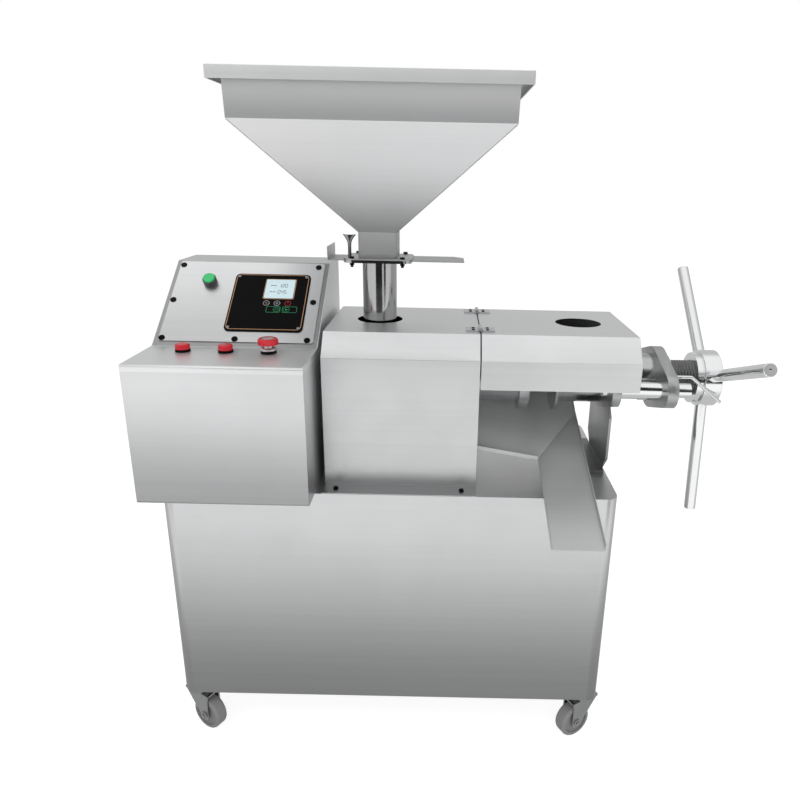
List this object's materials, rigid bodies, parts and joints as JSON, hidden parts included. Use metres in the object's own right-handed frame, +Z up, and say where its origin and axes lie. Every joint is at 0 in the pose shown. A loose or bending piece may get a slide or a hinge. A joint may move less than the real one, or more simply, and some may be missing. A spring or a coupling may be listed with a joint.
{
  "type": "screw oil press",
  "caption": "Electric screw oil press on a wheeled steel cabinet, with a square seed hopper, slide gate, slotted press barrel, barred choke handwheel and sloping control panel.",
  "frame": {"origin": "on the floor under the middle of the machine's overall box", "axes": "+Z up, +X along the press axis from the control housing to the handwheel, -Y the front with the chute"},
  "size_m": [1.149, 0.597, 1.3366],
  "materials": {
    "stainless_sheet": "satin stainless sheet",
    "polished_steel": "polished",
    "machined_steel": "turned steel",
    "zinc_steel": "zinc-plated pressed steel",
    "black_steel": "black oxide",
    "wheel_rubber": "moulded rubber",
    "cast_grey": "painted casting",
    "belt_rubber": "wrapped belt",
    "black_plastic": "moulded",
    "grey_plastic": "moulded",
    "red_plastic": "glossy",
    "green_plastic": "glossy",
    "lcd": "backlit window"
  },
  "bodies": {
    "frame": {"base_cabinet": "stainless_sheet", "cabinet_floor": "stainless_sheet", "service_panel": "stainless_sheet", "control_housing": "stainless_sheet", "panel_plate": "stainless_sheet", "main_cover": "stainless_sheet", "feed_pipe": "stainless_sheet", "upper_flange": "stainless_sheet", "hopper": "stainless_sheet", "hopper_rim": "stainless_sheet", "support_plate": "stainless_sheet", "oil_chute": "stainless_sheet", "drip_tray": "stainless_sheet", "tie_rods": "polished_steel", "rear_barrel": "machined_steel", "press_cage": "machined_steel", "front_barrel": "machined_steel", "head_plate": "machined_steel", "yoke_plate": "machined_steel", "head_cylinder": "machined_steel", "thrust_bearing": "machined_steel", "hinge_leaves_fixed": "machined_steel", "hinge_pins": "machined_steel", "caster_plates": "zinc_steel", "flange_bolts": "black_steel", "cage_bolts": "black_steel", "feed_body": "cast_grey", "gearbox": "cast_grey", "motor": "cast_grey", "drive_belts": "belt_rubber", "display_plate": "black_plastic", "lamp_bases": "black_plastic", "estop_collar": "black_plastic", "start_bezel": "grey_plastic", "lamp_lenses": "red_plastic", "lcd_window": "lcd"},
    "press_screw": {"press_screw": "machined_steel"},
    "gearbox_pulley": {"gearbox_pulley": "cast_grey"},
    "motor_pulley": {"motor_pulley": "cast_grey"},
    "choke": {"choke_cone": "machined_steel"},
    "handwheel": {"adjusting_screw": "machined_steel", "handwheel_hub": "polished_steel", "handle_bars": "polished_steel"},
    "lock_nut": {"lock_lever": "polished_steel"},
    "chamber_lid": {"chamber_cover": "stainless_sheet", "hinge_leaves_lid": "machined_steel"},
    "gate": {"slide_gate": "stainless_sheet"},
    "wing": {"wing_screw": "polished_steel"},
    "start_button": {"start_cap": "green_plastic"},
    "estop_plunger": {"estop_stem": "grey_plastic"},
    "estop_knob": {"estop_head": "red_plastic"},
    "swivel_front_left": {"caster_fork_front_left": "zinc_steel"},
    "wheel_front_left": {"caster_wheel_front_left": "wheel_rubber"},
    "swivel_front_right": {"caster_fork_front_right": "zinc_steel"},
    "wheel_front_right": {"caster_wheel_front_right": "wheel_rubber"},
    "swivel_rear_left": {"caster_fork_rear_left": "zinc_steel"},
    "wheel_rear_left": {"caster_wheel_rear_left": "wheel_rubber"},
    "swivel_rear_right": {"caster_fork_rear_right": "zinc_steel"},
    "wheel_rear_right": {"caster_wheel_rear_right": "wheel_rubber"}
  },
  "joints": [
    {"name": "drive_pulley_spin", "type": "hinge", "parent": "frame", "child": "gearbox_pulley", "pos_m": [0, 0.0415, 0.776], "axis": [1, 0, 0], "continuous": true},
    {"name": "motor_pulley_spin", "type": "hinge", "parent": "frame", "child": "motor_pulley", "pos_m": [0, 0.0415, 0.205], "axis": [1, 0, 0], "continuous": true},
    {"name": "press_screw_spin", "type": "hinge", "parent": "frame", "child": "press_screw", "pos_m": [0, 0.0415, 0.776], "axis": [1, 0, 0], "continuous": true},
    {"name": "choke_advance", "type": "slide", "parent": "frame", "child": "choke", "axis": [1, 0, 0], "range_m": [0, 0.0242]},
    {"name": "handwheel_turn", "type": "hinge", "parent": "choke", "child": "handwheel", "pos_m": [0, 0.0415, 0.776], "axis": [1, 0, 0], "range_deg": [0, 1440]},
    {"name": "lock_lever_turn", "type": "hinge", "parent": "handwheel", "child": "lock_nut", "pos_m": [0, 0.0415, 0.776], "axis": [1, 0, 0], "range_deg": [-5, 25]},
    {"name": "chamber_cover_lift", "type": "hinge", "parent": "frame", "child": "chamber_lid", "pos_m": [0.0645, 0.0415, 0.8953], "axis": [0, -1, 0], "range_deg": [0, 90]},
    {"name": "gate_slide", "type": "slide", "parent": "frame", "child": "gate", "axis": [-1, 0, 0], "range_m": [0, 0.095]},
    {"name": "wing_screw_turn", "type": "hinge", "parent": "frame", "child": "wing", "pos_m": [-0.2005, 0.0195, 1.02], "axis": [0, 0, 1], "range_deg": [0, 180]},
    {"name": "start_button_press", "type": "slide", "parent": "frame", "child": "start_button", "axis": [0, 0.6263, -0.7796], "range_m": [0, 0.003], "stiffness_N_per_m": 300, "springref_m": -0.002},
    {"name": "estop_press", "type": "slide", "parent": "frame", "child": "estop_plunger", "axis": [0, 0, -1], "range_m": [0, 0.005], "stiffness_N_per_m": 600, "springref_m": -0.003},
    {"name": "estop_twist", "type": "hinge", "parent": "estop_plunger", "child": "estop_knob", "pos_m": [-0.3375, -0.1265, 0.878], "axis": [0, 0, -1], "range_deg": [0, 45], "stiffness_Nm_per_rad": 0.05, "springref_deg": -5.73},
    {"name": "swivel_front_left_turn", "type": "hinge", "parent": "frame", "child": "swivel_front_left", "pos_m": [-0.5275, -0.1425, 0.095], "axis": [0, 0, 1], "continuous": true},
    {"name": "wheel_front_left_roll", "type": "hinge", "parent": "swivel_front_left", "child": "wheel_front_left", "pos_m": [-0.51018, -0.1525, 0.0375], "axis": [0.5, 0.866, 0], "continuous": true},
    {"name": "swivel_front_right_turn", "type": "hinge", "parent": "frame", "child": "swivel_front_right", "pos_m": [0.3125, -0.1425, 0.095], "axis": [0, 0, 1], "continuous": true},
    {"name": "wheel_front_right_roll", "type": "hinge", "parent": "swivel_front_right", "child": "wheel_front_right", "pos_m": [0.29518, -0.1525, 0.0375], "axis": [0.5, -0.866, 0], "continuous": true},
    {"name": "swivel_rear_left_turn", "type": "hinge", "parent": "frame", "child": "swivel_rear_left", "pos_m": [-0.5275, 0.2255, 0.095], "axis": [0, 0, 1], "continuous": true},
    {"name": "wheel_rear_left_roll", "type": "hinge", "parent": "swivel_rear_left", "child": "wheel_rear_left", "pos_m": [-0.51018, 0.2155, 0.0375], "axis": [0.5, 0.866, 0], "continuous": true},
    {"name": "swivel_rear_right_turn", "type": "hinge", "parent": "frame", "child": "swivel_rear_right", "pos_m": [0.3125, 0.2255, 0.095], "axis": [0, 0, 1], "continuous": true},
    {"name": "wheel_rear_right_roll", "type": "hinge", "parent": "swivel_rear_right", "child": "wheel_rear_right", "pos_m": [0.29518, 0.2155, 0.0375], "axis": [0.5, -0.866, 0], "continuous": true}
  ],
  "couplings": [
    {"joint": "motor_pulley_spin", "follows": "drive_pulley_spin", "ratio": 2.117},
    {"joint": "press_screw_spin", "follows": "drive_pulley_spin", "ratio": 0.071429},
    {"joint": "choke_advance", "follows": "handwheel_turn", "m_per_rad": 0.00095493}
  ]
}
